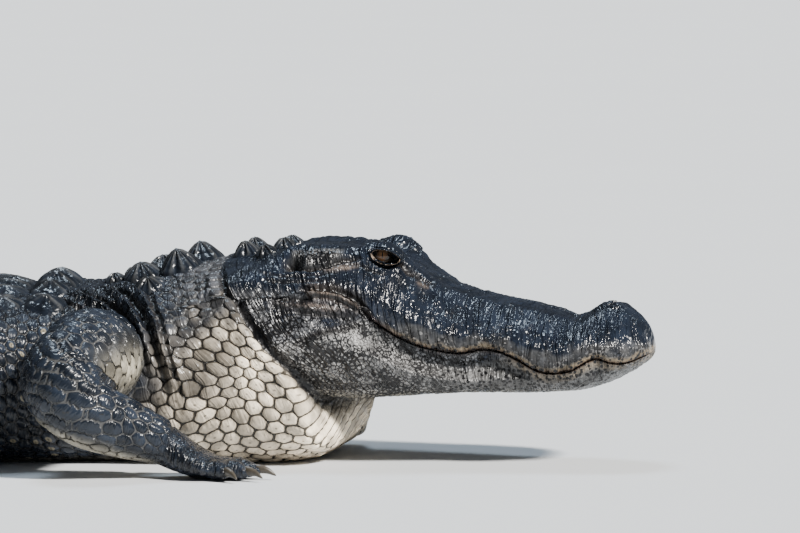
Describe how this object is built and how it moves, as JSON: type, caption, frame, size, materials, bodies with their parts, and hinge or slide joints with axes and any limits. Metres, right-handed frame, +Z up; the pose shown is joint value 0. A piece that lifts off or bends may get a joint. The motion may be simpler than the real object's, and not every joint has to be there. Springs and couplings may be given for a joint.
{
  "type": "american alligator",
  "caption": "still, life-size model of a resting american alligator, belly on the ground, head held level just clear of it, legs spread and tail in an easy curve",
  "frame": {"origin": "on the flat of the belly under the middle of the trunk, on the ground", "axes": "+X towards the snout along the trunk, +Y towards the animal's left side, +Z up"},
  "size_m": [3.4294, 0.9828, 0.276],
  "materials": {
    "back_skin": "damp, slightly glossy dark scaly skin",
    "jaw_skin": "satin speckled skin",
    "neck_skin": "satin plated skin",
    "leg_skin": "damp, slightly glossy scaly skin",
    "eye": "polished"
  },
  "bodies": {
    "root": {"head": "back_skin", "lower_jaw": "jaw_skin", "eye_right": "eye", "eye_left": "eye", "neck": "neck_skin", "torso": "back_skin", "tail_base": "back_skin", "tail_middle": "back_skin", "tail_tip": "back_skin", "foreleg_right": "leg_skin", "foreleg_left": "leg_skin", "forefoot_right": "leg_skin", "forefoot_left": "leg_skin", "hindleg_right": "leg_skin", "hindleg_left": "leg_skin", "hindfoot_right": "leg_skin", "hindfoot_left": "leg_skin"}
  },
  "joints": []
}
